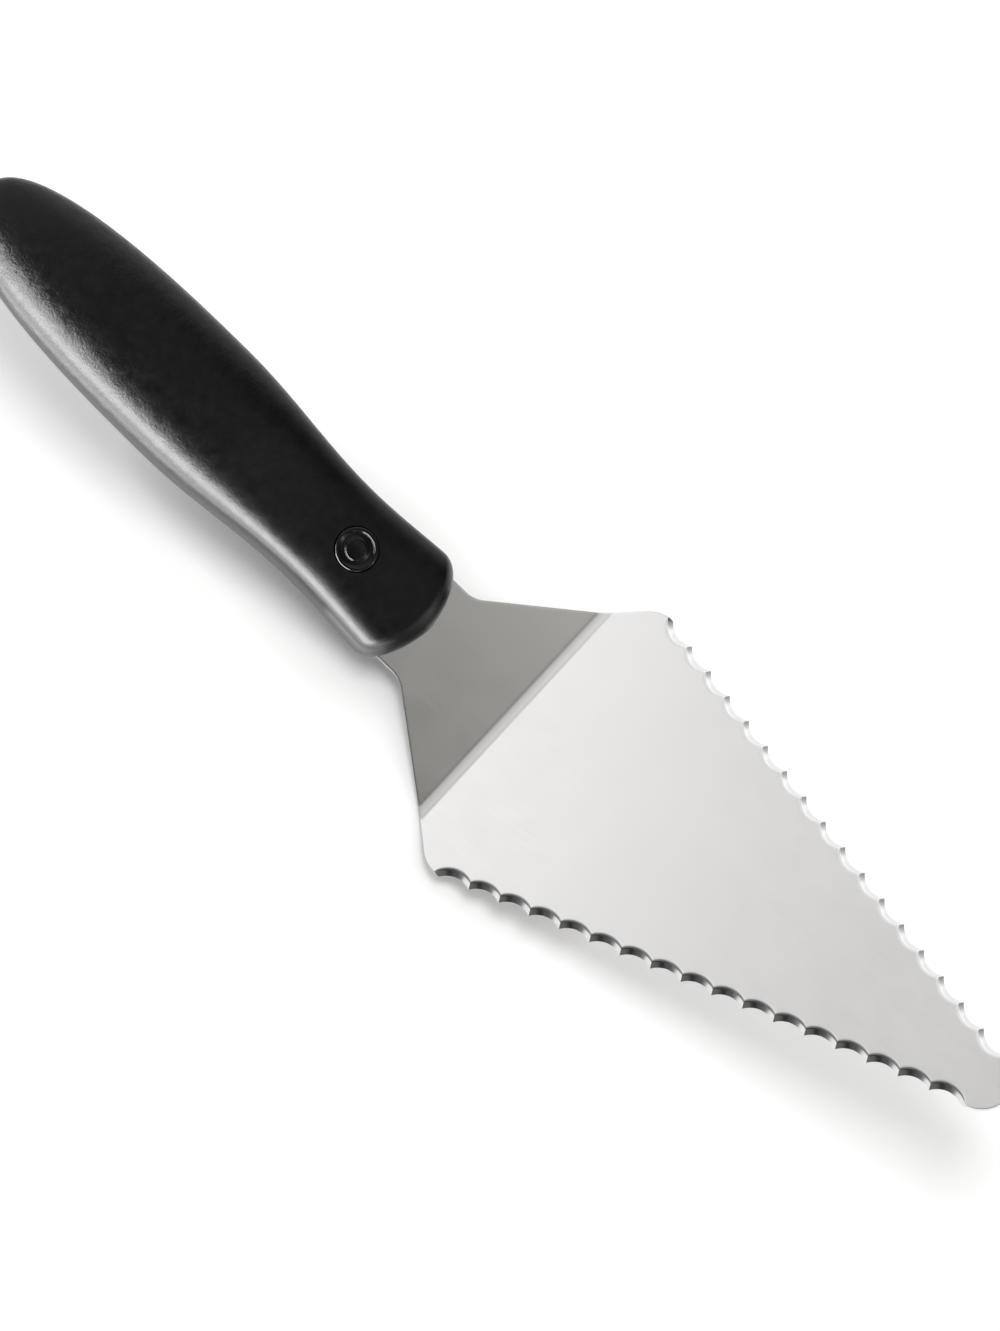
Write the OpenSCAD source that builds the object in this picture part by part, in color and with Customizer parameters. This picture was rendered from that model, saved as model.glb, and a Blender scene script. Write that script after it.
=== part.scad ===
// Cake server: a bent and serrated steel blade, its handle moulded around the tang, and a small
// round disc pressed into the handle. Millimetres. It lies as it rests on a table, with +Z up and
// the blade's tip towards +X: it stands on the bend and on the lower front edge of the handle.
// Lengths called "along" run from the bend, forwards on the blade and backwards on the neck.

/* [Blade] */
// Thickness of the steel sheet
sheet_t = 1.1; // [0.8:0.1:1.5]
// Bend to the tip of the nose
blade_len = 115.5; // [100:0.5:130]
// Width across the edges at the first pair of serration points
blade_w = 61.8; // [54:0.1:68]
// Width at the bend
bend_w = 48.1; // [42:0.1:52]
// Bend to the first serration point
edge_start = 10.7; // [9:0.1:13]
// Angle between the heel's flanks and the length of the blade
flank_angle = 41; // [35:1:50]
// Radius of the rounded heel corners
heel_r = 7; // [4:0.5:8]
// Radius of the round nose
nose_r = 5.5; // [4:0.5:7]

/* [Serrations] */
// Distance from one serration point to the next
scallop_pitch = 6; // [5:0.1:7]
// Radius of the wheel that grinds a scallop
scallop_r = 6.1; // [5:0.1:9]
// Slope of the ground bevel from upright
bevel_angle = 45; // [30:1:50]
// Depth to which the points themselves are ground back from the edge
point_trim = 0.1; // [0.05:0.01:0.2]

/* [Neck] */
// Angle between the blade and the neck
bend_angle = 33; // [20:1:38]
// Inner radius of the bend
bend_r = 4.5; // [3:0.5:6]
// Bend to the foremost point of the handle
neck_len = 21.3; // [18:0.1:26]
// Width of the neck where it enters the handle
neck_w = 19.2; // [16:0.1:20]
// Angle between the flared sides and the length of the blade, seen square to the blade
flare_angle = 43; // [38:1:48]
// Radius that blends the neck into the flare above the bend
neck_r = 4; // [2:0.5:10]

/* [Tang] */
// Length of the full-width neck held inside the handle
tang_root_len = 6; // [4:0.5:9]
// Width of the tang
tang_w = 12; // [9:0.5:14]
// Length of the tang from the root to its end
tang_len = 72; // [60:1:80]
// Diameter of the two holes that the plastic fills
tang_hole_d = 6; // [4:0.5:7]

/* [Handle] */
// Length from the foremost point to the butt
handle_len = 108.5; // [100:0.5:125]
// Width behind the front corners
front_w = 23.2; // [21:0.1:25]
// Width at the waist
waist_w = 20.9; // [19:0.1:22]
// Width at the belly
belly_w = 25.4; // [23:0.1:28]
// Height of the top above the tang at the front
front_top = 7.6; // [6.5:0.1:9]
// Depth of the underside below the tang at the front
front_under = 6.2; // [5.5:0.1:7.5]
// Height of the top above the tang at the belly
belly_top = 9.2; // [8:0.1:11]
// Depth of the underside below the tang at the belly
belly_under = 9.4; // [8:0.1:11]
// Radius of the curved front, seen from above
front_arc_r = 17; // [15:0.5:22]
// Radius of the two front corners, seen from above
front_corner_r = 5.5; // [3:0.5:6]
// Radius of the front's upper and lower edges
front_edge_r = 3; // [1.5:0.5:4]

/* [Disc] */
// Diameter of the round disc
disc_d = 7.8; // [6:0.1:9]
// Thickness of the disc
disc_t = 1.2; // [1:0.1:2]
// Height of the disc's rings above the handle
disc_proud = 0.25; // [0.1:0.05:0.4]
// Width of the disc's raised outer ring
ring_w = 0.8; // [0.5:0.1:1]
// Diameter of the raised centre
centre_d = 4.2; // [3:0.1:4.4]
// Depth of the groove between ring and centre
groove_depth = 0.45; // [0.2:0.05:0.6]
// Foremost point of the handle to the middle of the disc
disc_along = 19.3; // [15:0.1:24]

/* [Hidden] */
$fn = 96;
overrun = 1;

// Places along the handle as shares of its length, and along the tang as shares of the tang.
waist_share = 0.22;
belly_share = 0.52;
hole_shares = [0.35, 0.8];

// Powers of the rounded sections: 2 is an ellipse, more is squarer.
top_power_shares = [4.4, 3.1, 2.5];
under_power_shares = [2.9, 2.6, 2.4];
butt_power = 2.7;

// Rings of the handle's surface in its three stretches, and points in each ring.
front_rings = 13;
middle_rings = 16;
butt_rings = 15;
ring_points = 48;

// Share of a step by which the last ring stays short of the butt's very end.
butt_end_share = 0.6;

// Straight steps in each arc of the sheet's outline and of its bend.
arc_steps = 12;

// Bend: the middle of the sheet follows an arc that touches both flats.
mid_r = bend_r + sheet_t / 2;
flat_start = mid_r * tan(bend_angle / 2);
sheet_top = sheet_t / 2;

// Blade outline: the edge runs from the first serration point down to the nose.
edge_half = blade_w / 2;
bend_half = bend_w / 2;
nose_x = blade_len - nose_r;
nose_run = nose_x - edge_start;
edge_angle = atan2(edge_half, nose_run) - asin(nose_r / norm([edge_half, nose_run]));
edge_len = sqrt(pow(edge_half, 2) + pow(nose_run, 2) - pow(nose_r, 2));
scallop_count = floor(edge_len / scallop_pitch);
scallop_step = [cos(edge_angle), -sin(edge_angle)] * scallop_pitch;

// Heel: a straight flank from the bend to the point where it would meet the edge's line.
flank_slope = tan(flank_angle);
edge_slope = tan(edge_angle);
heel_x = (edge_half + edge_slope * edge_start - bend_half) / (flank_slope + edge_slope);
heel_y = bend_half + flank_slope * heel_x;
heel_turn = flank_angle + edge_angle;
heel_tangent = heel_r * tan(heel_turn / 2);

// Neck and tang outline, seen square to the blade.
neck_half = neck_w / 2;
neck_end_x = -(neck_len + tang_root_len) * cos(bend_angle);
tang_end_along = neck_len + tang_root_len + tang_len;
tang_end_x = -tang_end_along * cos(bend_angle);
flare_x = (neck_half - bend_half) / tan(flare_angle);
neck_blend = neck_r * tan(flare_angle / 2);

// Handle: its own frame runs back along the tang from the bend, with its z square to the tang.
front_half = front_w / 2;
waist_half = waist_w / 2;
belly_half = belly_w / 2;
waist_at = waist_share * handle_len;
belly_at = belly_share * handle_len;

// The front corner's circle touches the curved front inside and the side of the handle.
corner_at = front_arc_r - sqrt(pow(front_arc_r - front_corner_r, 2) - pow(front_half - front_corner_r, 2));
arc_end = front_arc_r * (1 - (front_arc_r - corner_at) / (front_arc_r - front_corner_r));

// A smooth step from 0 to 1 over a stretch.
function ease(at, from, to) = (1 - cos(180 * min(1, max(0, (at - from) / (to - from))))) / 2;

// A value that passes smoothly from front to waist to belly.
function body_value(at, front, waist, belly) =
    at < waist_at
        ? front + (waist - front) * ease(at, 0, waist_at)
        : waist + (belly - waist) * ease(at, waist_at, belly_at);

// The share of the belly's size left at a place on the way to the butt.
function butt_share(at) =
    at < belly_at
        ? 1
        : pow(1 - pow((at - belly_at) / (handle_len - belly_at), butt_power), 1 / butt_power);

// Half the width of the plain body, and of the handle with its curved front.
function body_half(at) = body_value(at, front_half, waist_half, belly_half) * butt_share(at);
function curved_half(at) =
    at < arc_end
        ? sqrt(at * (2 * front_arc_r - at))
        : front_half - front_corner_r + sqrt(pow(front_corner_r, 2) - pow(corner_at - at, 2));
function half_width(at) =
    at < corner_at
        ? curved_half(at) * body_half(at) / front_half
        : body_half(at);

// Height above and depth below the tang, with rounded front edges.
function edge_loss(at) =
    at < front_edge_r
        ? front_edge_r - sqrt(at * (2 * front_edge_r - at))
        : 0;
function top_height(at) =
    body_value(at, front_top, front_top, belly_top) * butt_share(at) - edge_loss(at);
function under_depth(at) =
    body_value(at, front_under, (front_under + belly_under) / 2, belly_under) * butt_share(at)
    - edge_loss(at);

// Places of the rings: closer together at the front and at the butt.
front_places = [for (i = [1:front_rings]) waist_at * (1 - cos(90 * i / front_rings))];
middle_places = [for (i = [1:middle_rings]) waist_at + (belly_at - waist_at) * i / middle_rings];
butt_places = [
    for (i = [1:butt_rings])
        belly_at + (handle_len - belly_at) * sin(90 * i / (butt_rings + butt_end_share))
];
places = concat(front_places, middle_places, butt_places);

// One ring of the handle: a squared ellipse, flatter above than below.
function signed_power(value, power) = sign(value) * pow(abs(value), power);
function power_at(at, powers) =
    body_value(at, powers[0], (powers[0] + powers[1]) / 2, powers[1])
    + (powers[2] - powers[1]) * ease(at, belly_at, handle_len);
function ring(at) = [
    for (j = [0:ring_points - 1])
        let (
            turn = 360 * (j + 0.5) / ring_points,
            above = turn < 180,
            power = power_at(at, above ? top_power_shares : under_power_shares),
            height = above ? top_height(at) : under_depth(at)
        )
        [
            -(neck_len + at),
            half_width(at) * signed_power(cos(turn), 2 / power),
            height * signed_power(sin(turn), 2 / power)
        ]
];
ring_count = len(places);
handle_points = [for (at = places) each ring(at)];
wall_faces = [
    for (i = [0:ring_count - 2], j = [0:ring_points - 1])
        let (
            k = (j + 1) % ring_points,
            a = i * ring_points + j,
            b = i * ring_points + k,
            c = (i + 1) * ring_points + k,
            d = (i + 1) * ring_points + j
        )
        each [[a, b, c], [a, c, d]]
];
front_face = [for (j = [0:ring_points - 1]) ring_points - 1 - j];
butt_face = [for (j = [0:ring_points - 1]) (ring_count - 1) * ring_points + j];

// Rest: the table touches the bend and the lowest ring, so its slope to the tang is known.
bend_outer_r = bend_r + sheet_t;
function ring_slope(at) =
    let (
        run = neck_len + at - flat_start,
        fall = under_depth(at) + mid_r
    )
    atan2(fall, run) - asin(bend_outer_r / norm([run, fall]));
tang_slope = max([for (at = places) ring_slope(at)]);
rest_tilt = bend_angle - tang_slope;

// Place of a point of the blade's frame after the tilt, before the shift to the origin.
function tilted(x, z) = [x * cos(rest_tilt) - z * sin(rest_tilt), x * sin(rest_tilt) + z * cos(rest_tilt)];
function from_tang(point) = [
    point[0] * cos(bend_angle) + point[2] * sin(bend_angle),
    -point[0] * sin(bend_angle) + point[2] * cos(bend_angle)
];
handle_reach = [for (p = handle_points) let (q = from_tang(p)) tilted(q[0], q[1])[0]];
tip_x = tilted(blade_len, -sheet_top)[0];
middle_x = (tip_x + min(handle_reach)) / 2;
bend_low_z = tilted(flat_start, mid_r)[1] - bend_outer_r;

module rest() {
    translate([-middle_x, 0, -bend_low_z]) rotate([0, -rest_tilt, 0]) children();
}

module along_tang() {
    rotate([0, bend_angle, 0]) children();
}

module both_sides() {
    children();
    mirror([0, 1, 0]) children();
}

// Points of an arc, its ends included.
function arc_points(centre, r, from, to) = [
    for (i = [0:arc_steps])
        let (turn = from + (to - from) * i / arc_steps)
        centre + r * [cos(turn), sin(turn)]
];

// A point at a distance back along the straight neck, raised square to it.
function on_neck(along, up) = [
    up * sin(bend_angle) - along * cos(bend_angle),
    up * cos(bend_angle) + along * sin(bend_angle)
];

// Side view of the bent sheet: blade, arc and the straight neck with its tang.
module sheet_side() {
    bend_centre = [flat_start, mid_r];
    polygon(concat(
        [[blade_len + overrun, -sheet_top]],
        arc_points(bend_centre, bend_outer_r, -90, -90 - bend_angle),
        [on_neck(tang_end_along, -sheet_top), on_neck(tang_end_along, sheet_top)],
        arc_points(bend_centre, bend_r, -90 - bend_angle, -90),
        [[blade_len + overrun, sheet_top]]
    ));
}

// Outline seen from above, from the tang's end to the nose and back along the other side.
module outline() {
    neck_centre = [flare_x - neck_blend, neck_half + neck_r];
    heel_centre = [
        heel_x + heel_tangent * cos(edge_angle) - heel_r * sin(edge_angle),
        heel_y - heel_tangent * sin(edge_angle) - heel_r * cos(edge_angle)
    ];
    half = concat(
        [
            [tang_end_x - overrun, tang_w / 2],
            [neck_end_x, tang_w / 2],
            [neck_end_x, neck_half]
        ],
        arc_points(neck_centre, neck_r, -90, -90 + flare_angle),
        [[0, bend_half]],
        arc_points(heel_centre, heel_r, 90 + flank_angle, 90 - edge_angle),
        arc_points([nose_x, 0], nose_r, 90 - edge_angle, 0)
    );
    polygon(concat(half, [for (i = [len(half) - 2:-1:0]) [half[i][0], -half[i][1]]]));
}

// The ground flutes of one edge: leaning cylinders whose lower rims meet at the points.
module scallops() {
    chord_half = scallop_pitch / 2;
    sagitta = scallop_r - sqrt(pow(scallop_r, 2) - pow(chord_half, 2));
    for (i = [0:scallop_count - 1])
        translate([
            edge_start + scallop_step[0] * (i + 0.5),
            edge_half + scallop_step[1] * (i + 0.5),
            -sheet_top
        ])
            rotate([0, 0, -edge_angle])
                rotate([bevel_angle, 0, 0])
                    translate([0, scallop_r - sagitta - point_trim, 0])
                        cylinder(r = scallop_r, h = 2 * scallop_r, center = true);
}

module sheet() {
    side_reach = blade_w + 2 * overrun;
    tall = tang_end_along + blade_len;
    difference() {
        intersection() {
            translate([0, side_reach / 2, 0]) rotate([90, 0, 0])
                linear_extrude(side_reach) sheet_side();
            translate([0, 0, -tall / 2]) linear_extrude(tall) outline();
        }
        both_sides() scallops();
        along_tang() for (share = hole_shares)
            translate([-(neck_len + tang_root_len + share * tang_len), 0, -sheet_t])
                cylinder(d = tang_hole_d, h = 2 * sheet_t);
    }
}

// The disc's own frame: its z is square to the tang and starts at the disc's underside.
module at_disc() {
    along_tang() translate([-(neck_len + disc_along), 0, top_height(disc_along) + disc_proud - disc_t])
        children();
}

module blade() {
    color("silver") rest() sheet();
}

module handle() {
    color([0.1, 0.1, 0.11]) rest() difference() {
        along_tang() polyhedron(
            points = handle_points,
            faces = concat([front_face], wall_faces, [butt_face])
        );
        sheet();
        at_disc() cylinder(d = disc_d, h = disc_t + overrun);
    }
}

module disc() {
    color([0.05, 0.05, 0.05]) rest() at_disc() difference() {
        cylinder(d = disc_d, h = disc_t);
        translate([0, 0, disc_t - groove_depth]) difference() {
            cylinder(d = disc_d - 2 * ring_w, h = disc_t);
            translate([0, 0, -disc_t]) cylinder(d = centre_d, h = 3 * disc_t);
        }
    }
}

blade();
handle();
disc();
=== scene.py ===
import math

import bmesh
import bpy
from mathutils import Matrix, Vector

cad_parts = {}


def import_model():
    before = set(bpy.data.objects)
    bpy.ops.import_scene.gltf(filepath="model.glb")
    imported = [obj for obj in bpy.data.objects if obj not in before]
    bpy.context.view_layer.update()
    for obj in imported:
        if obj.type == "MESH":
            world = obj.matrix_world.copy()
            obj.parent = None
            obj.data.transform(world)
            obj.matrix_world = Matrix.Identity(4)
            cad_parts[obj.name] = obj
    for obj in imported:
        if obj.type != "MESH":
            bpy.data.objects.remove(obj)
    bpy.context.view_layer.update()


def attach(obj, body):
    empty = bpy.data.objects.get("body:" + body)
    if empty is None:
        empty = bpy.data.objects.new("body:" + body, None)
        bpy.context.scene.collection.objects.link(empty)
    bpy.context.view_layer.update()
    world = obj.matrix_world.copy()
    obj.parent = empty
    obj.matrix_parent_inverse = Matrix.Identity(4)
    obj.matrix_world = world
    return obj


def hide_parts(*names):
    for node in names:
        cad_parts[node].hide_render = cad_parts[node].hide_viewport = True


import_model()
MM = 0.001

# Sizes of the server in millimetres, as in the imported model.
SHEET_T = 1.1
BLADE_LEN = 115.5
EDGE_HALF = 30.9
BEND_HALF = 24.05
EDGE_START = 10.7
FLANK = math.radians(41)
HEEL_R = 7.0
NOSE_R = 5.5
PITCH = 6.0
WHEEL_R = 6.1
BEVEL = math.radians(45)
TRIM = 0.1
LAND = 0.08
BEND = math.radians(33)
BEND_R = 4.5
NECK_LEN = 21.3
NECK_HALF = 9.6
FLARE = math.radians(43)
NECK_R = 4.0
ROOT_LEN = 6.0
TANG_HALF = 6.0
TANG_LEN = 72.0
HANDLE_LEN = 108.5
FRONT_HALF = 11.6
WAIST_HALF = 10.45
BELLY_HALF = 12.7
FRONT_TOP = 7.6
FRONT_UNDER = 6.2
BELLY_TOP = 9.2
BELLY_UNDER = 9.4
FRONT_ARC_R = 17.0
CORNER_R = 5.5
EDGE_R = 3.0
DISC_R = 3.9
DISC_T = 1.2
DISC_ALONG = 19.3
DISC_PROUD = 0.25
RING_W = 0.8
CENTRE_R = 2.1
GROOVE = 0.45

# Polished roundings of the flutes' upper rims and of the plain edges, and a strip left flat inside.
FLUTE_RIM = 0.36
PLAIN_RIM = 0.1
HIDDEN_RIM = 0.03
FLAT_STRIP = 0.25
TANG_CORNER_R = 1.5

# Faces of a flute's column, counted from below, that the wheel has ground: the bevel and most of its rim.
GROUND_FACES = range(4, 8)

# How round the grip's section is at its front, belly and butt: 2 is an ellipse, and more is squarer.
TOP_POWERS = (4.4, 3.1, 2.5)
UNDER_POWERS = (2.9, 2.6, 2.4)
BUTT_POWER = 2.7
# The same for the rounding of the front's edge, where less than 2 is flatter.
TOP_EDGE_POWER = 1.4
UNDER_EDGE_POWER = 2

# The play round the tang and round the disc, the seat's chamfer and the rounding of the disc's rings.
POCKET_GAP = 0.04
SEAT_GAP = 0.12
SEAT_CHAMFER = 0.12
DISC_ROUNDING = 0.26

# Points round the grip's rings and round the disc, and rings along the grip's front, middle and butt.
RING_POINTS = 144
DISC_POINTS = 128
FRONT_RINGS = 56
MIDDLE_RINGS = 44
BUTT_RINGS = 60

# Rest pose of the blade's own frame, in which x runs to the tip and z is square to the blade.
REST_TILT = math.radians(19.2293)
SHIFT_X = 8.52579
SHIFT_Z = 0.339083

MID_R = BEND_R + SHEET_T / 2
FLAT_START = MID_R * math.tan(BEND / 2)
HALF_T = SHEET_T / 2


def from_blade(x, y, z):
    """A point of the blade's frame in millimetres, as a point of the shared frame in metres."""
    c, s = math.cos(REST_TILT), math.sin(REST_TILT)
    return Vector((x * c - z * s + SHIFT_X, y, x * s + z * c + SHIFT_Z)) * MM


def from_tang(along, y, up):
    """A point a distance back along the neck and tang, y across and up square to the tang."""
    c, s = math.cos(BEND), math.sin(BEND)
    return from_blade(up * s - along * c, y, up * c + along * s)


def new_piece(name, mesh, node, materials):
    piece = bpy.data.objects.new(name, mesh)
    bpy.context.scene.collection.objects.link(piece)
    for material in materials:
        mesh.materials.append(material)
    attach(piece, "root")
    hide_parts(node)
    return piece


def mesh_of(bm, name, sharp_degrees):
    bmesh.ops.recalc_face_normals(bm, faces=bm.faces)
    mesh = bpy.data.meshes.new(name)
    bm.to_mesh(mesh)
    bm.free()
    mesh.shade_smooth()
    mesh.set_sharp_from_angle(angle=math.radians(sharp_degrees))
    return mesh


# Materials. Every texture is placed by the object's own coordinates, in metres.


class Nodes:
    """A small helper that adds nodes to one node tree and links them."""

    def __init__(self, tree):
        self.tree = tree
        tree.nodes.clear()

    def add(self, kind, **values):
        node = self.tree.nodes.new(kind)
        for key, value in values.items():
            setattr(node, key, value)
        return node

    def link(self, source, target):
        self.tree.links.new(source, target)

    def noise(self, vector, scale, detail, roughness=0.5):
        node = self.add("ShaderNodeTexNoise")
        node.inputs["Scale"].default_value = scale
        node.inputs["Detail"].default_value = detail
        node.inputs["Roughness"].default_value = roughness
        self.link(vector, node.inputs["Vector"])
        return node.outputs["Fac"]

    def stretched(self, vector, scale):
        node = self.add("ShaderNodeMapping")
        node.inputs["Scale"].default_value = scale
        self.link(vector, node.inputs["Vector"])
        return node.outputs["Vector"]

    def math(self, operation, a, b):
        node = self.add("ShaderNodeMath", operation=operation)
        for socket, value in zip(node.inputs, (a, b)):
            if isinstance(value, (int, float)):
                socket.default_value = value
            else:
                self.link(value, socket)
        return node.outputs[0]

    def spread(self, value, low, high, to_low=0.0, to_high=1.0, smooth=False):
        node = self.add("ShaderNodeMapRange")
        if smooth:
            node.interpolation_type = "SMOOTHSTEP"
        self.link(value, node.inputs["Value"])
        limits = {"From Min": low, "From Max": high, "To Min": to_low, "To Max": to_high}
        for key, number in limits.items():
            node.inputs[key].default_value = number
        return node.outputs["Result"]

    def mix(self, factor, a, b):
        node = self.add("ShaderNodeMix", data_type="RGBA")
        self.link(factor, node.inputs["Factor"])
        node.inputs["A"].default_value = (*a, 1)
        node.inputs["B"].default_value = (*b, 1)
        return node.outputs["Result"]

    def curve(self, value, stops):
        """Colours at places from -1 to 1, joined by straight lines."""
        node = self.add("ShaderNodeValToRGB")
        self.link(self.spread(value, -1, 1), node.inputs["Fac"])
        elements = node.color_ramp.elements
        for place, colour in stops[1:-1]:
            elements.new((place + 1) / 2)
        for element, (place, colour) in zip(elements, stops):
            element.position = (place + 1) / 2
            element.color = (*colour, 1)
        return node.outputs["Color"]

    def bump(self, height, distance, strength=1.0, before=None):
        node = self.add("ShaderNodeBump")
        node.inputs["Distance"].default_value = distance
        node.inputs["Strength"].default_value = strength
        self.link(height, node.inputs["Height"])
        if before is not None:
            self.link(before, node.inputs["Normal"])
        return node.outputs["Normal"]


def material(name):
    made = bpy.data.materials.new(name)
    made.use_nodes = True
    nodes = Nodes(made.node_tree)
    shader = nodes.add("ShaderNodeBsdfPrincipled")
    output = nodes.add("ShaderNodeOutputMaterial")
    nodes.link(shader.outputs["BSDF"], output.inputs["Surface"])
    place = nodes.add("ShaderNodeTexCoord").outputs["Object"]
    return made, nodes, shader, place


def steel_material():
    """Rolled sheet with a fine polish along the blade, faintly cloudy and lightly scratched."""
    made, nodes, shader, place = material("steel_polished")
    shader.inputs["Metallic"].default_value = 1.0
    cloud = nodes.noise(place, 45, 3)
    colour = nodes.mix(cloud, (0.815, 0.801, 0.791), (0.855, 0.841, 0.831))
    nodes.link(colour, shader.inputs["Base Color"])
    brushing = nodes.noise(nodes.stretched(place, (90, 5200, 400)), 1.0, 4, 0.6)
    patches = nodes.noise(place, 160, 2)
    fine = nodes.spread(brushing, 0.3, 0.7, -0.02, 0.03)
    broad = nodes.spread(patches, 0.3, 0.7, 0.14, 0.17)
    nodes.link(nodes.math("ADD", fine, broad), shader.inputs["Roughness"])
    nodes.link(nodes.bump(brushing, 0.000002, 0.5), shader.inputs["Normal"])
    return made


def ground_material():
    """The ground flutes: fine lines left by the wheel down each flute."""
    made, nodes, shader, place = material("steel_ground")
    shader.inputs["Metallic"].default_value = 1.0
    shader.inputs["Base Color"].default_value = (0.74, 0.74, 0.73, 1)
    lines = nodes.noise(nodes.stretched(place, (5200, 260, 260)), 1.0, 3, 0.6)
    nodes.link(nodes.spread(lines, 0.3, 0.7, 0.16, 0.24), shader.inputs["Roughness"])
    nodes.link(nodes.bump(lines, 0.000002, 0.4), shader.inputs["Normal"])
    return made


def grip_material():
    """Black moulded plastic with a fine satin grain, smoother at the front than at the belly."""
    made, nodes, shader, place = material("grip_plastic")
    split = nodes.add("ShaderNodeSeparateXYZ")
    nodes.link(place, split.inputs[0])
    back = nodes.spread(split.outputs["X"], -0.02, -0.1, smooth=True)
    wear = nodes.noise(place, 90, 4)
    colour = nodes.mix(wear, (0.001, 0.0011, 0.0018), (0.0016, 0.0017, 0.0026))
    nodes.link(colour, shader.inputs["Base Color"])
    grain = nodes.math("MULTIPLY", nodes.noise(place, 2600, 2), nodes.spread(back, 0, 1, 0.5, 1.0))
    patches = nodes.noise(place, 480, 4, 0.6)
    nodes.link(nodes.spread(patches, 0.3, 0.7, 0.28, 0.38), shader.inputs["Roughness"])
    shader.inputs["Specular IOR Level"].default_value = 0.25
    waves = nodes.math("MULTIPLY", patches, nodes.spread(back, 0, 1, 0.2, 0.75))
    coarse = nodes.bump(waves, 0.00027, 0.8)
    nodes.link(nodes.bump(grain, 0.00005, 0.8, coarse), shader.inputs["Normal"])
    return made


def disc_material():
    """Glossy black plastic with the faintest orange peel."""
    made, nodes, shader, place = material("disc_plastic")
    tone = nodes.noise(place, 600, 2)
    colour = nodes.mix(tone, (0.0022, 0.0022, 0.0024), (0.0032, 0.0032, 0.0034))
    nodes.link(colour, shader.inputs["Base Color"])
    nodes.link(nodes.spread(tone, 0.3, 0.7, 0.12, 0.2), shader.inputs["Roughness"])
    shader.inputs["Specular IOR Level"].default_value = 0.3
    shader.inputs["Specular Tint"].default_value = (0.94, 0.97, 1.0, 1)
    nodes.link(nodes.bump(nodes.noise(place, 1500, 2), 0.000006, 0.5), shader.inputs["Normal"])
    return made


# The blade: samples along one half of its outline, each a column of bottom, knee and top points.


def sheet_z(x, side):
    """Height of the sheet's upper (side 1) or lower (side -1) face over a place along the blade."""
    radius = MID_R - side * HALF_T
    end_x = FLAT_START - radius * math.sin(BEND)
    if x >= FLAT_START:
        return side * HALF_T
    if x >= end_x:
        return MID_R - math.sqrt(radius**2 - (x - FLAT_START) ** 2)
    along = (side * HALF_T * math.sin(BEND) - x) / math.cos(BEND)
    return side * HALF_T * math.cos(BEND) + along * math.sin(BEND)


def steps(start, end, count):
    return [start + (end - start) * i / count for i in range(1, count + 1)]


def arc(centre_x, centre_y, radius, start, end, count):
    turns = [math.radians(start)] + [math.radians(t) for t in steps(start, end, count)]
    return [(centre_x + radius * math.cos(t), centre_y + radius * math.sin(t)) for t in turns]


NOSE_X = BLADE_LEN - NOSE_R
RUN = NOSE_X - EDGE_START
EDGE = math.atan2(EDGE_HALF, RUN) - math.asin(NOSE_R / math.hypot(EDGE_HALF, RUN))
EDGE_LEN = math.sqrt(EDGE_HALF**2 + RUN**2 - NOSE_R**2)
FLUTES = int(EDGE_LEN / PITCH)
EDGE_DIR = (math.cos(EDGE), -math.sin(EDGE))
EDGE_OUT = (math.sin(EDGE), math.cos(EDGE))


def edge_frame(x, y):
    """Distance along the edge from the first point, and outwards from the edge's line."""
    dx, dy = x - EDGE_START, y - EDGE_HALF
    return dx * EDGE_DIR[0] + dy * EDGE_DIR[1], dx * EDGE_OUT[0] + dy * EDGE_OUT[1]


def on_edge(u, v):
    return (
        EDGE_START + u * EDGE_DIR[0] + v * EDGE_OUT[0],
        EDGE_HALF + u * EDGE_DIR[1] + v * EDGE_OUT[1],
    )


def flute_out(u):
    """How far outwards the ground surface meets the sheet's lower face at a place on the edge."""
    index = min(max(math.floor(u / PITCH), 0), FLUTES - 1)
    local = u - (index + 0.5) * PITCH
    if abs(local) >= WHEEL_R:
        return 100.0
    sag = WHEEL_R - math.sqrt(WHEEL_R**2 - (PITCH / 2) ** 2)
    return (WHEEL_R - sag - TRIM - math.sqrt(WHEEL_R**2 - local**2)) / math.cos(BEVEL)


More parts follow.
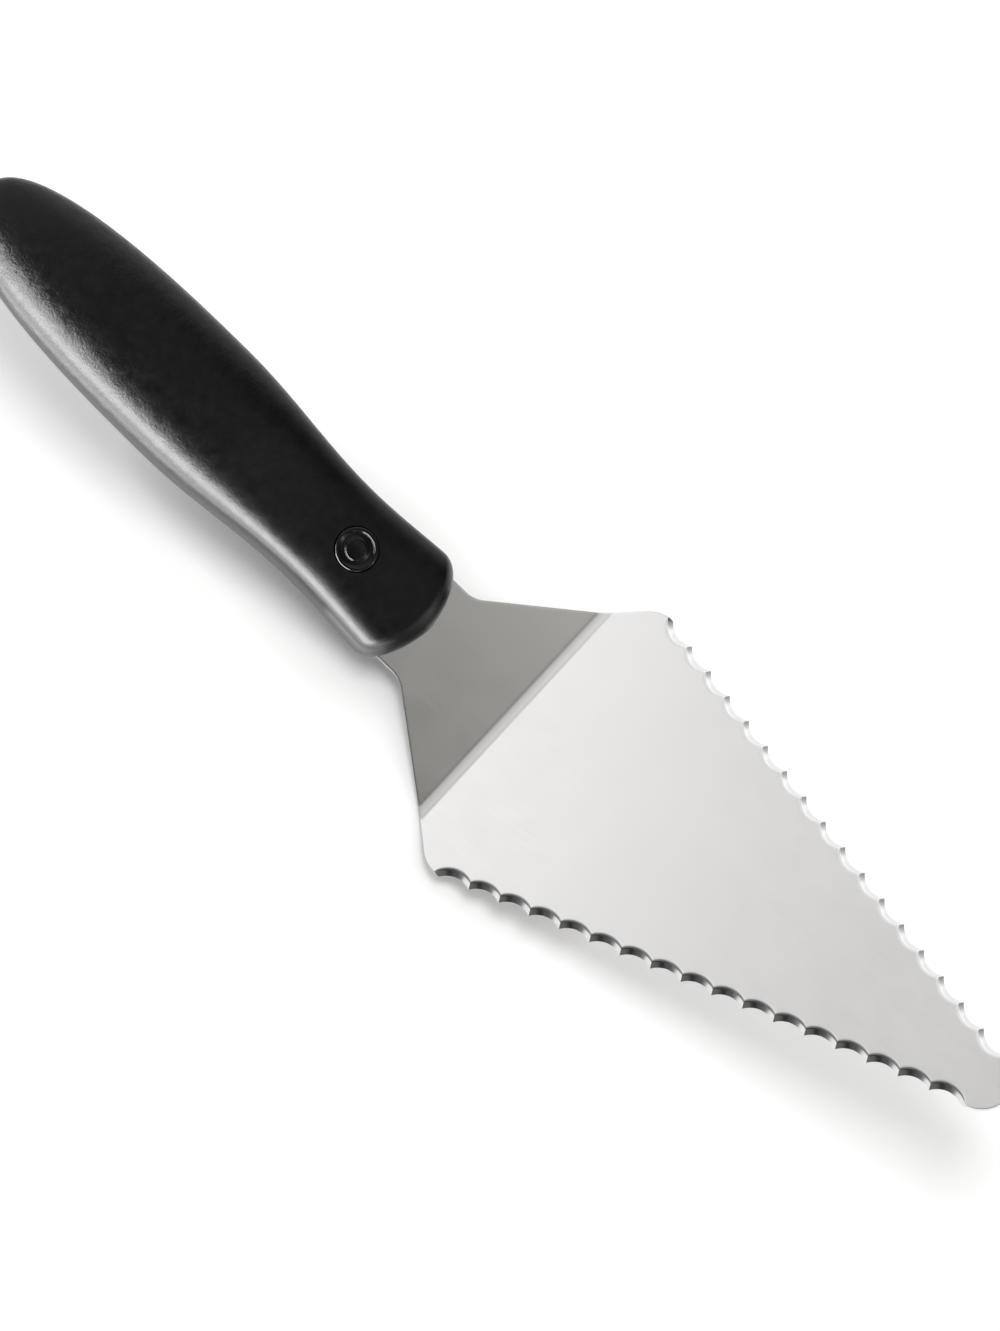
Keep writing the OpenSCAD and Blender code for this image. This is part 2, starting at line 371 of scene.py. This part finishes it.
def half_outline():
    """Points of one side of the plain outline, from the tang's end to the nose."""
    flare_x = (NECK_HALF - BEND_HALF) / math.tan(FLARE)
    blend = NECK_R * math.tan(FLARE / 2)
    root_x = -(NECK_LEN + ROOT_LEN) * math.cos(BEND)
    tang_x = -(NECK_LEN + ROOT_LEN + TANG_LEN) * math.cos(BEND)
    points = arc(tang_x + TANG_CORNER_R, TANG_HALF - TANG_CORNER_R, TANG_CORNER_R, 180, 90, 6)
    points += [(root_x - 0.02, TANG_HALF), (root_x, NECK_HALF)]
    neck = arc(flare_x - blend, NECK_HALF + NECK_R, NECK_R, -90, -90 + math.degrees(FLARE), 24)
    points += neck
    line_x, line_y = neck[-1]
    low_end = FLAT_START - (MID_R + HALF_T) * math.sin(BEND)
    slope = (BEND_HALF - line_y) / (0 - line_x)
    marks = steps(line_x, low_end - 0.3, 6) + [low_end - 0.05]
    marks += steps(low_end - 0.05, 0, 16)
    points += [(x, line_y + slope * (x - line_x)) for x in marks]
    heel_x = (EDGE_HALF + math.tan(EDGE) * EDGE_START - BEND_HALF) / (math.tan(FLANK) + math.tan(EDGE))
    heel_y = BEND_HALF + math.tan(FLANK) * heel_x
    tangent = HEEL_R * math.tan((FLANK + EDGE) / 2)
    centre = (
        heel_x + tangent * math.cos(EDGE) - HEEL_R * math.sin(EDGE),
        heel_y - tangent * math.sin(EDGE) - HEEL_R * math.cos(EDGE),
    )
    heel = arc(*centre, HEEL_R, 90 + math.degrees(FLANK), 90 - math.degrees(EDGE), 40)
    for x in steps(0, FLAT_START, 12) + [FLAT_START + 0.05]:
        points.append((x, BEND_HALF + math.tan(FLANK) * x))
    start = points[-1][0]
    for x in steps(start, heel[0][0], 4)[:-1]:
        points.append((x, BEND_HALF + math.tan(FLANK) * x))
    points += heel
    first = edge_frame(*heel[-1])[0]
    inner = [index * PITCH / 18 for index in range(FLUTES * 18 + 1)]
    tail = steps(FLUTES * PITCH, EDGE_LEN, 10)
    points += [on_edge(u, 0) for u in inner + tail if u > first + 0.02]
    nose = arc(NOSE_X, 0, NOSE_R, 90 - math.degrees(EDGE), 0, 28)
    points += nose[1:]
    return points


def corner_points(first, middle, last):
    """Points of a small rounding from first to last, drawn towards middle."""
    points = []
    for t in (0.0, 0.25, 0.5, 0.75, 1.0):
        points.append(tuple(
            a * (1 - t) ** 2 + 2 * b * t * (1 - t) + c * t**2
            for a, b, c in zip(first, middle, last)
        ))
    return points


def wall_profile(rim):
    """Distance inwards and height of the points of a plain cut edge, from underneath to the top."""
    upper = corner_points((0, SHEET_T - rim), (0, SHEET_T), (rim, SHEET_T))
    lower = [(rim + FLAT_STRIP, 0), (rim, 0), (0.3 * rim, 0.3 * rim), (0, rim), (0, SHEET_T / 2)]
    return lower + upper + [(rim + FLAT_STRIP, SHEET_T)]


def flute_profile(out, low):
    """The same for a column through a flute, inwards from the edge's line out beyond the sheet."""
    high = low - (SHEET_T - LAND) * math.tan(BEVEL)
    foot = min(low, out)
    knee = LAND + max(0.0, low - out) / math.tan(BEVEL)
    soft = min(FLUTE_RIM, 0.6 * (foot - high))
    tip = LAND / 2
    upper = corner_points(
        (high + soft * math.sin(BEVEL), SHEET_T - soft * math.cos(BEVEL)),
        (high, SHEET_T),
        (high - soft, SHEET_T),
    )
    lower = [
        (foot - tip - FLAT_STRIP, 0),
        (foot - tip, 0),
        (foot - 0.3 * tip, 0.3 * tip),
        (foot, tip),
        (foot, knee),
    ]
    return [(out - v, z) for v, z in lower + upper + [(high - soft - FLAT_STRIP, SHEET_T)]]


def columns():
    """For each outline point its column of points (x, y, share of the sheet), and if it is ground."""
    outline = half_outline()
    made = []
    for number, (x, y) in enumerate(outline):
        before = outline[max(number - 1, 0)]
        after = outline[min(number + 1, len(outline) - 1)]
        inwards = Vector((after[1] - before[1], before[0] - after[0])).normalized()
        if number == 0:
            inwards = Vector((1, 0))
        if number == len(outline) - 1:
            inwards = Vector((-1, 0))
        u, v = edge_frame(x, y)
        on_run = FLAT_START + 1 < x < on_edge(EDGE_LEN, 0)[0] - 0.001
        ground = on_run and flute_out(u) - (SHEET_T - LAND) * math.tan(BEVEL) < v - 0.01
        if ground:
            profile = flute_profile(v, flute_out(u))
            inwards = Vector((-EDGE_OUT[0], -EDGE_OUT[1]))
        else:
            profile = wall_profile(PLAIN_RIM if x > -(NECK_LEN + 2) * math.cos(BEND) else HIDDEN_RIM)
        made.append((
            [(x + d * inwards.x, y + d * inwards.y, z / SHEET_T) for d, z in profile],
            ground,
        ))
    return made


def blade_piece():
    bm = bmesh.new()
    rows = {1: [], -1: []}
    made = columns()
    last = len(made) - 1
    for number, (points, ground) in enumerate(made):
        for side in (1, -1):
            if side == -1 and number == last:
                rows[side].append(rows[1][-1])
                continue
            column = []
            for x, y, share in points:
                low_z = sheet_z(x, -1)
                z = low_z + share * (sheet_z(x, 1) - low_z)
                column.append(bm.verts.new(from_blade(x, side * y, z)))
            rows[side].append(column)
    levels = len(made[0][0])
    for i in range(last):
        left, right = rows[1], rows[-1]
        for level in (0, levels - 1):
            quad = [left[i][level], left[i + 1][level], right[i + 1][level], right[i][level]]
            bm.faces.new(quad[:2] + quad[3:] if i == last - 1 else quad)
        for side in (left, right):
            for k in range(levels - 1):
                face = bm.faces.new([side[i][k], side[i + 1][k], side[i + 1][k + 1], side[i][k + 1]])
                if made[i][1] and made[i + 1][1] and k in GROUND_FACES:
                    face.material_index = 1
    for k in range(levels - 1):
        bm.faces.new([rows[1][0][k], rows[1][0][k + 1], rows[-1][0][k + 1], rows[-1][0][k]])
    mesh = mesh_of(bm, "blade_sheet", 30)
    return new_piece("blade_sheet", mesh, "blade", [steel_material(), ground_material()])


# The handle: rings of squared ellipses along the tang.


def ease(at, start, end):
    return (1 - math.cos(math.pi * min(1, max(0, (at - start) / (end - start))))) / 2


WAIST_AT = 0.22 * HANDLE_LEN
BELLY_AT = 0.52 * HANDLE_LEN
CORNER_AT = FRONT_ARC_R - math.sqrt((FRONT_ARC_R - CORNER_R) ** 2 - (FRONT_HALF - CORNER_R) ** 2)
ARC_END = FRONT_ARC_R * (1 - (FRONT_ARC_R - CORNER_AT) / (FRONT_ARC_R - CORNER_R))


def body_value(at, front, waist, belly):
    if at < WAIST_AT:
        return front + (waist - front) * ease(at, 0, WAIST_AT)
    return waist + (belly - waist) * ease(at, WAIST_AT, BELLY_AT)


def butt_share(at):
    if at < BELLY_AT:
        return 1.0
    share = (at - BELLY_AT) / (HANDLE_LEN - BELLY_AT)
    return max(0.0, 1 - share**BUTT_POWER) ** (1 / BUTT_POWER)


def half_width(at):
    body = body_value(at, FRONT_HALF, WAIST_HALF, BELLY_HALF) * butt_share(at)
    if at >= CORNER_AT:
        return body
    if at < ARC_END:
        curved = math.sqrt(max(0.0, at * (2 * FRONT_ARC_R - at)))
    else:
        curved = FRONT_HALF - CORNER_R + math.sqrt(CORNER_R**2 - (CORNER_AT - at) ** 2)
    return curved * body / FRONT_HALF


def edge_loss(depth, power):
    """Height lost over the front's edge at a depth behind it."""
    left = min(1.0, max(0.0, 1 - depth / EDGE_R))
    return EDGE_R * (1 - (1 - left**power) ** (1 / power))


def front_depth(at, y):
    """Distance back from the front's arc, for a place along and across the handle."""
    return at - FRONT_ARC_R + math.sqrt(FRONT_ARC_R**2 - y**2)


def top_height(at):
    return body_value(at, FRONT_TOP, FRONT_TOP, BELLY_TOP) * butt_share(at)


def under_depth(at):
    middle = (FRONT_UNDER + BELLY_UNDER) / 2
    body = body_value(at, FRONT_UNDER, middle, BELLY_UNDER) * butt_share(at)
    return body - edge_loss(at, UNDER_EDGE_POWER)


def power_at(at, powers):
    middle = (powers[0] + powers[1]) / 2
    late = (powers[2] - powers[1]) * ease(at, BELLY_AT, HANDLE_LEN)
    return body_value(at, powers[0], middle, powers[1]) + late


def ring(at, turns):
    """Points of the grip's section at a place along it: distance along the tang, across and up."""
    top_power = power_at(at, TOP_POWERS)
    under_power = power_at(at, UNDER_POWERS)
    points = []
    for turn in turns:
        above = turn < math.pi
        power = top_power if above else under_power
        c, s = math.cos(turn), math.sin(turn)
        y = half_width(at) * math.copysign(abs(c) ** (2 / power), c)
        if above:
            height = top_height(at) - edge_loss(front_depth(at, y), TOP_EDGE_POWER)
        else:
            height = under_depth(at)
        up = height * math.copysign(abs(s) ** (2 / power), s)
        points.append((NECK_LEN + at, y, up))
    return points


def ring_turns(count):
    """Turns of a ring's points, closer together where a squared section turns its corners."""
    turns = []
    for i in range(count):
        t = (i + 0.5) / count * 2 * math.pi
        turns.append(t - 0.22 * math.sin(4 * t) / 4)
    return turns


def cut(piece, tool):
    """Takes the tool's volume out of a piece and removes the tool."""
    modifier = piece.modifiers.new("cut", "BOOLEAN")
    modifier.operation = "DIFFERENCE"
    modifier.solver = "EXACT"
    modifier.object = tool
    bpy.context.view_layer.update()
    view = bpy.context.evaluated_depsgraph_get()
    mesh = bpy.data.meshes.new_from_object(piece.evaluated_get(view))
    piece.modifiers.remove(modifier)
    piece.data = mesh
    bpy.data.objects.remove(tool)


def tool_object(name, corners, faces):
    mesh = bpy.data.meshes.new(name)
    mesh.from_pydata([tuple(c) for c in corners], [], faces)
    bm = bmesh.new()
    bm.from_mesh(mesh)
    bmesh.ops.recalc_face_normals(bm, faces=bm.faces)
    bm.to_mesh(mesh)
    bm.free()
    tool = bpy.data.objects.new(name, mesh)
    bpy.context.scene.collection.objects.link(tool)
    return tool


def slot_tool(name, start, end, half, gap):
    corners = [
        from_tang(along, y, up)
        for along in (start, end)
        for y, up in ((-half, -gap), (half, -gap), (half, gap), (-half, gap))
    ]
    faces = [(0, 1, 2, 3), (7, 6, 5, 4), (0, 4, 5, 1), (1, 5, 6, 2), (2, 6, 7, 3), (3, 7, 4, 0)]
    return tool_object(name, corners, faces)


def lathe(profile, count):
    """Points and faces of a turned piece about the disc's axis, from its top's middle to its base's."""
    corners = []
    faces = []
    middle = NECK_LEN + DISC_ALONG
    for radius, up in profile:
        for i in range(count):
            t = 2 * math.pi * i / count
            corners.append(from_tang(middle - radius * math.cos(t), radius * math.sin(t), up))
    for j in range(len(profile) - 1):
        for i in range(count):
            k = (i + 1) % count
            faces.append((j * count + i, j * count + k, (j + 1) * count + k, (j + 1) * count + i))
    faces.append(tuple(range(count)))
    faces.append(tuple(reversed(range((len(profile) - 1) * count, len(profile) * count))))
    return corners, faces


def handle_piece():
    quarter = math.pi / 2
    front = [WAIST_AT * (1 - math.cos(t)) for t in steps(0, quarter, FRONT_RINGS)]
    middle = steps(WAIST_AT, BELLY_AT, MIDDLE_RINGS)
    # The last ring stays a little short of the butt's end, and a small flat face closes it.
    short = quarter * BUTT_RINGS / (BUTT_RINGS + 0.15)
    butt = [BELLY_AT + (HANDLE_LEN - BELLY_AT) * math.sin(t) for t in steps(0, short, BUTT_RINGS)]
    places = front + middle + butt
    turns = ring_turns(RING_POINTS)
    bm = bmesh.new()
    rings = []
    for at in places:
        rings.append([bm.verts.new(from_tang(*p)) for p in ring(at, turns)])
        for corner in rings[-1]:
            corner.co.z = max(corner.co.z, 0.0)
    for a, b in zip(rings, rings[1:]):
        for j in range(len(turns)):
            k = (j + 1) % len(turns)
            bm.faces.new([a[j], a[k], b[k], b[j]])
    bm.faces.new(rings[0])
    bm.faces.new(rings[-1])
    mesh = mesh_of(bm, "handle_grip", 40)
    piece = new_piece("handle_grip", mesh, "handle", [grip_material()])
    gap = HALF_T + POCKET_GAP
    root_end = NECK_LEN + ROOT_LEN
    cut(piece, slot_tool("slot", NECK_LEN - 5, root_end, NECK_HALF + POCKET_GAP, gap))
    cut(piece, slot_tool("slot", root_end - 1, root_end + TANG_LEN, TANG_HALF + POCKET_GAP, gap))
    top = top_height(DISC_ALONG)
    seat_r = DISC_R + SEAT_GAP
    profile = [
        (seat_r + 0.9, top + 0.9 - SEAT_CHAMFER),
        (seat_r + SEAT_CHAMFER, top),
        (seat_r, top - SEAT_CHAMFER),
        (seat_r, top + DISC_PROUD - DISC_T),
    ]
    cut(piece, tool_object("seat", *lathe(profile, DISC_POINTS)))
    piece.data.shade_smooth()
    piece.data.set_sharp_from_angle(angle=math.radians(32))
    return piece


def disc_piece():
    top = top_height(DISC_ALONG) + DISC_PROUD
    base = top - DISC_T
    inner = DISC_R - RING_W
    r = DISC_ROUNDING

    def rounded(radius, up, out):
        """Three points of a small rounded edge at a radius, open outwards or inwards."""
        return [
            (radius - out * r, up),
            (radius - out * r * 0.3, up - r * 0.3),
            (radius, up - r),
        ]

    groove = top - GROOVE
    profile = [(0.35, top - 0.02), (CENTRE_R - 0.5, top - 0.03)]
    profile += rounded(CENTRE_R, top - 0.05, 1)
    profile += [(CENTRE_R, groove + 0.05), (CENTRE_R + 0.06, groove)]
    profile += [(inner - 0.06, groove), (inner, groove + 0.05)]
    profile += list(reversed(rounded(inner, top, -1)))
    profile += rounded(DISC_R, top, 1)
    profile += [(DISC_R, base)]
    corners, faces = lathe(profile, DISC_POINTS)
    mesh = bpy.data.meshes.new("disc_ring")
    mesh.from_pydata([tuple(c) for c in corners], [], faces)
    bm = bmesh.new()
    bm.from_mesh(mesh)
    mesh = mesh_of(bm, "disc_ring", 50)
    return new_piece("disc_ring", mesh, "disc", [disc_material()])


blade = blade_piece()
grip = handle_piece()
disc = disc_piece()


# The floor: pale, lifted to white for the camera and a little for reflections, with painted contact shade
# in the camera's lift close to the server, and it keeps the lamps' shadow.


def floor():
    mesh = bpy.data.meshes.new("floor")
    half = 6.0
    corners = [(-half, -half, 0), (half, -half, 0), (half, half, 0), (-half, half, 0)]
    mesh.from_pydata(corners, [], [(0, 1, 2, 3)])
    piece = bpy.data.objects.new("floor", mesh)
    bpy.context.scene.collection.objects.link(piece)
    made = bpy.data.materials.new("floor_white")
    made.use_nodes = True
    nodes = Nodes(made.node_tree)
    diffuse = nodes.add("ShaderNodeBsdfDiffuse")
    diffuse.inputs["Color"].default_value = (0.8, 0.8, 0.8, 1)
    glow = nodes.add("ShaderNodeEmission")
    path = nodes.add("ShaderNodeLightPath")
    mirrored = nodes.math("MAXIMUM", path.outputs["Is Glossy Ray"], path.outputs["Is Transmission Ray"])
    # Painted contact shade: ambient occlusion within 12 mm of the server dims the floor's lift to white
    # for the camera, so the floor is painted darker next to it.
    near = nodes.add("ShaderNodeAmbientOcclusion", samples=8)
    near.inputs["Distance"].default_value = 0.012
    painted_contact_shade = nodes.math("POWER", near.outputs["AO"], 1.6)
    camera_lift_with_painted_shade = nodes.math("MULTIPLY", path.outputs["Is Camera Ray"], nodes.math("MULTIPLY", painted_contact_shade, 0.37))
    strength = nodes.math("MAXIMUM", camera_lift_with_painted_shade, nodes.math("MULTIPLY", mirrored, 0.38))
    nodes.link(strength, glow.inputs["Strength"])
    both = nodes.add("ShaderNodeAddShader")
    nodes.link(diffuse.outputs[0], both.inputs[0])
    nodes.link(glow.outputs[0], both.inputs[1])
    output = nodes.add("ShaderNodeOutputMaterial")
    nodes.link(both.outputs[0], output.inputs["Surface"])
    mesh.materials.append(made)


floor()


# Light: a soft dome whose brightness depends on its direction, an overhead softbox, and panels that
# light the grip and the disc alone.


# Brightness of the dome by the x of its direction, leaned by its y: bright behind the handle, dim ahead.
DOME = [
    (-1.0, 1.5),
    (-0.684, 1.37),
    (-0.662, 1.04),
    (-0.65, 0.765),
    (-0.643, 0.665),
    (-0.632, 0.605),
    (-0.622, 0.62),
    (-0.6, 0.61),
    (-0.55, 0.64),
    (-0.48, 0.78),
    (-0.3, 0.74),
    (0.05, 0.58),
    (0.19, 0.155),
    (0.372, 0.155),
    (0.387, 0.182),
    (0.5, 0.18),
    (0.68, 0.9),
    (1.0, 1.2),
]

LEAN = 1.194
WARM_AHEAD = (1, 0.99, 0.935)

# Brightness behind the handle by the y of the direction, added to 1: dimmer to the near side.
ACROSS = [(-1, 1), (0.08, 1.0), (0.12, 0.62), (0.27, 1.38), (0.31, 1.0), (1, 1)]


def world():
    made = bpy.data.worlds.new("studio")
    bpy.context.scene.world = made
    made.use_nodes = True
    nodes = Nodes(made.node_tree)
    direction = nodes.add("ShaderNodeTexCoord").outputs["Generated"]
    split = nodes.add("ShaderNodeSeparateXYZ")
    nodes.link(direction, split.inputs[0])
    x, y = split.outputs[0], split.outputs[1]
    lean = nodes.math("SUBTRACT", LEAN, y)
    stops = []
    for place, level in DOME:
        tint = WARM_AHEAD if place > 0.1 else (1, 1, 1)
        stops.append((place, [level * share for share in tint]))
    colour = nodes.curve(nodes.math("MULTIPLY", x, lean), stops)
    across = nodes.curve(y, [(place, [level] * 3) for place, level in ACROSS])
    near = nodes.spread(y, -0.62, -0.30, 0.13, 0.35, True)
    middle = nodes.spread(y, -0.02, 0.10, 0.0, 0.65, True)
    # To the far side the dome fades ahead of the server, glows elsewhere, and brightens low down.
    ahead = nodes.spread(x, 0.1, 0.32, 0.0, 1.0, True)
    fade = nodes.math("MULTIPLY", ahead, nodes.spread(y, 0.32, 0.5, 0.0, -0.6, True))
    elsewhere = nodes.math("SUBTRACT", 1.0, ahead)
    glow = nodes.math("MULTIPLY", elsewhere, nodes.spread(y, 0.3, 0.5, 0.0, 0.4, True))
    low = nodes.spread(y, 0.74, 0.93, 0.0, 0.9, True)
    far = nodes.math("ADD", fade, nodes.math("ADD", glow, low))
    side = nodes.math("ADD", nodes.math("ADD", near, middle), far)
    # A narrow bright band ahead, a little to the far side.
    band = nodes.spread(y, 0.1915, 0.235, 0.0, 4.5, True)
    rise = nodes.math("MULTIPLY", ahead, nodes.math("MULTIPLY", band, nodes.spread(y, 0.32, 0.25)))
    behind = nodes.math("MULTIPLY", nodes.spread(x, 0.1, -0.2), nodes.math("SUBTRACT", across, 1.0))
    strength = nodes.math("MULTIPLY", side, nodes.math("ADD", nodes.math("ADD", rise, behind), 1.0))
    background = nodes.add("ShaderNodeBackground")
    nodes.link(colour, background.inputs["Color"])
    nodes.link(strength, background.inputs["Strength"])
    output = nodes.add("ShaderNodeOutputWorld")
    nodes.link(background.outputs[0], output.inputs["Surface"])


def lamp(name, place, aim, width, height, radiance, glossy=True):
    """A panel that doesn't show to the camera, by its place, the point it faces, its size and radiance."""
    data = bpy.data.lights.new(name, "AREA")
    data.shape = "RECTANGLE"
    data.size = width
    data.size_y = height
    data.energy = radiance * math.pi * width * height
    piece = bpy.data.objects.new(name, data)
    bpy.context.scene.collection.objects.link(piece)
    piece.location = place
    piece.rotation_euler = (Vector(aim) - Vector(place)).to_track_quat("-Z", "Y").to_euler()
    piece.visible_camera = False
    piece.visible_glossy = glossy
    return piece


def group_of(name, pieces):
    group = bpy.data.collections.new(name)
    for piece in pieces:
        group.objects.link(piece)
    return group


world()
lamp("overhead", (-0.08, 0.2, 1.3), (0, 0, 0), 0.5, 0.5, 10.0, False)
# The panels beside the handle are flagged off from the steel and the floor. The side strip reaches a
# little below the floor, and the two cards lie on it.
panels = [
    lamp("side_strip", (-0.03, -0.32, 0.035), (-0.06, 0, 0.03), 0.47, 0.34, 32.0),
    lamp("card", (-0.05, -0.165, 0.0015), (-0.05, -0.165, 1), 0.5, 0.26, 8.8),
    lamp("near_card", (-0.003, -0.028, 0.0015), (-0.003, -0.028, 1), 0.05, 0.026, 1.9),
    lamp("upper_strip", (-0.03, -0.3, 0.26), (-0.06, 0, 0.03), 0.47, 0.1, 7.0),
    lamp("high_panel", (-0.19, -0.25, 0.3), (-0.09, 0, 0.03), 0.34, 0.14, 19.0),
]
lit = group_of("panel_lights", [grip, disc])
blockers = group_of("panel_shadows", [blade, grip, disc])
for piece in panels:
    piece.visible_diffuse = False
    piece.light_linking.receiver_collection = lit
    piece.light_linking.blocker_collection = blockers


# Camera: fitted to the photograph, whose frame is taken as 1000 by 1331.


def camera():
    data = bpy.data.cameras.new("camera")
    data.sensor_fit = "HORIZONTAL"
    data.sensor_width = 36
    data.lens = 258.24514
    data.clip_end = 20
    data.dof.use_dof = False
    piece = bpy.data.objects.new("camera", data)
    bpy.context.scene.collection.objects.link(piece)
    right = Vector((0.74297848, 0.66612163, 0.06530662))
    up = Vector((-0.66340317, 0.71996172, 0.20384149))
    back = right.cross(up)
    place = Vector((0.11275580652, -0.23957382254, 1.22663567599))
    turn = Matrix((right, up, back)).transposed().to_4x4()
    piece.matrix_world = Matrix.Translation(place) @ turn
    bpy.context.scene.camera = piece


camera()
bpy.context.scene.view_settings.view_transform = "Standard"
